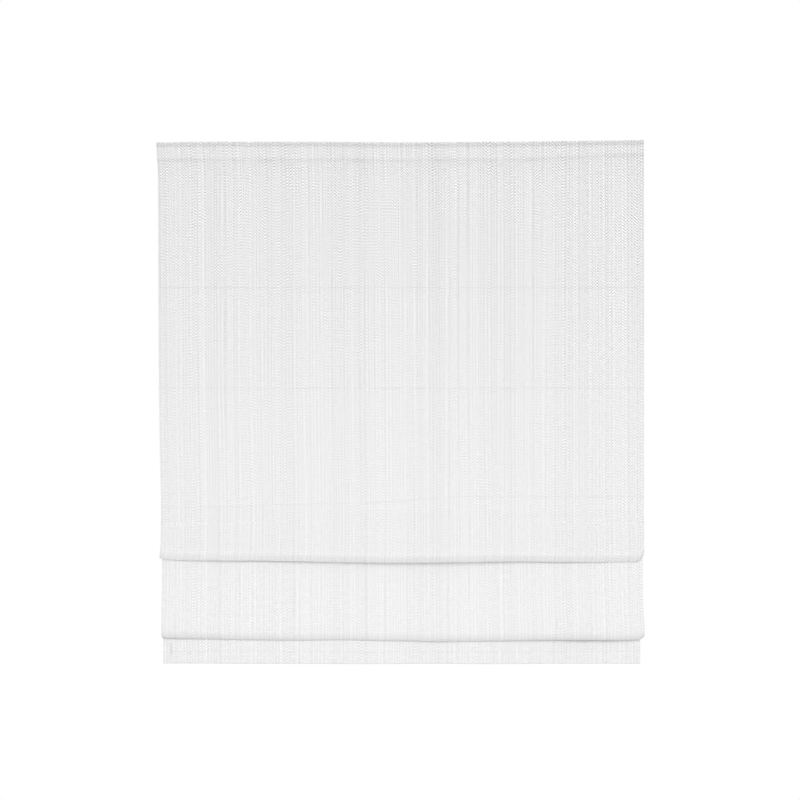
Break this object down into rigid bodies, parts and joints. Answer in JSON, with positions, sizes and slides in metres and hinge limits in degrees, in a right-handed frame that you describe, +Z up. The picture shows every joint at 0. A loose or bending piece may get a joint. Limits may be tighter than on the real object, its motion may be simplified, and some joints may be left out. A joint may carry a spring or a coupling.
{
  "type": "roman blind",
  "caption": "White Roman blind, partly raised into standing folds, with rods in sewn pockets, a weighted hem and a spring-lift headrail on wall brackets.",
  "frame": {"origin": "on the wall, at the centre of the bracket screw holes", "axes": "+X to the right as seen from the room, +Y from the room into the wall, +Z up"},
  "size_m": [1, 0.0666, 1.072],
  "materials": {
    "cloth": "white striped weave",
    "tape": "woven tape",
    "band": "ribbed woven band",
    "rail": "white powder coat",
    "bracket": "zinc plated",
    "white_plastic": "moulded",
    "grey_plastic": "moulded",
    "shaft_steel": "drawn",
    "spring_steel": "oiled wire",
    "rod": "pultruded glass fibre",
    "bar": "zinc plated"
  },
  "bodies": {
    "headrail": {"headrail": "rail", "end_cap_left": "white_plastic", "end_cap_right": "white_plastic", "bracket_left": "bracket", "bracket_right": "bracket", "hook_tape": "tape", "loop_tape": "tape", "cloth_panel": "cloth", "spool_cradle_left": "white_plastic", "spool_cradle_centre": "white_plastic", "spool_cradle_right": "white_plastic", "spring_block": "white_plastic", "lift_spring": "spring_steel", "brake_housing": "white_plastic", "lift_band_left": "band", "lift_band_centre": "band", "lift_band_right": "band"},
    "lift_shaft": {"lift_shaft": "shaft_steel", "shaft_bushes": "grey_plastic", "band_spool_left": "grey_plastic", "band_spool_centre": "grey_plastic", "band_spool_right": "grey_plastic", "band_turns": "band", "spring_collar": "grey_plastic", "brake_hub": "grey_plastic"},
    "bottom_bar": {"bottom_bar": "bar", "bar_end_caps": "white_plastic", "band_anchors": "white_plastic"},
    "rod_1": {"rod_1": "rod", "rod_pocket_1": "tape", "band_guides_1": "white_plastic"},
    "rod_2": {"rod_2": "rod", "rod_pocket_2": "tape", "band_guides_2": "white_plastic"},
    "rod_3": {"rod_3": "rod", "rod_pocket_3": "tape", "band_guides_3": "white_plastic"},
    "rod_4": {"rod_4": "rod", "rod_pocket_4": "tape", "band_guides_4": "white_plastic"},
    "rod_5": {"rod_5": "rod", "rod_pocket_5": "tape", "band_guides_5": "white_plastic"}
  },
  "joints": [
    {"name": "bar_lift", "type": "slide", "parent": "headrail", "child": "bottom_bar", "axis": [0, 0, 1], "range_m": [-0.325, 0.66], "deforming": ["cloth_panel", "lift_band_left", "lift_band_centre", "lift_band_right"]},
    {"name": "rod_1_lift", "type": "slide", "parent": "headrail", "child": "rod_1", "axis": [0, 0, 1], "range_m": [-0.054, 0.1076]},
    {"name": "rod_2_lift", "type": "slide", "parent": "headrail", "child": "rod_2", "axis": [0, 0, 1], "range_m": [-0.1432, 0.2888]},
    {"name": "rod_3_lift", "type": "slide", "parent": "headrail", "child": "rod_3", "axis": [0, 0, 1], "range_m": [-0.2503, 0.5062]},
    {"name": "rod_4_lift", "type": "slide", "parent": "headrail", "child": "rod_4", "axis": [0, 0, 1], "range_m": [-0.2664, 0.5389]},
    {"name": "rod_5_lift", "type": "slide", "parent": "headrail", "child": "rod_5", "axis": [0, 0, 1], "range_m": [-0.3179, 0.6435]},
    {"name": "shaft_turn", "type": "hinge", "parent": "headrail", "child": "lift_shaft", "pos_m": [0, -0.026, -0.00425], "axis": [1, 0, 0], "range_deg": [-3600, 1800]}
  ],
  "couplings": [
    {"joint": "rod_1_lift", "follows": "bar_lift", "ratio": 0.16},
    {"joint": "rod_2_lift", "follows": "bar_lift", "ratio": 0.4345},
    {"joint": "rod_3_lift", "follows": "bar_lift", "ratio": 0.764},
    {"joint": "rod_4_lift", "follows": "bar_lift", "ratio": 0.8135},
    {"joint": "rod_5_lift", "follows": "bar_lift", "ratio": 0.972},
    {"joint": "shaft_turn", "follows": "bar_lift", "rad_per_m": -94.34}
  ]
}
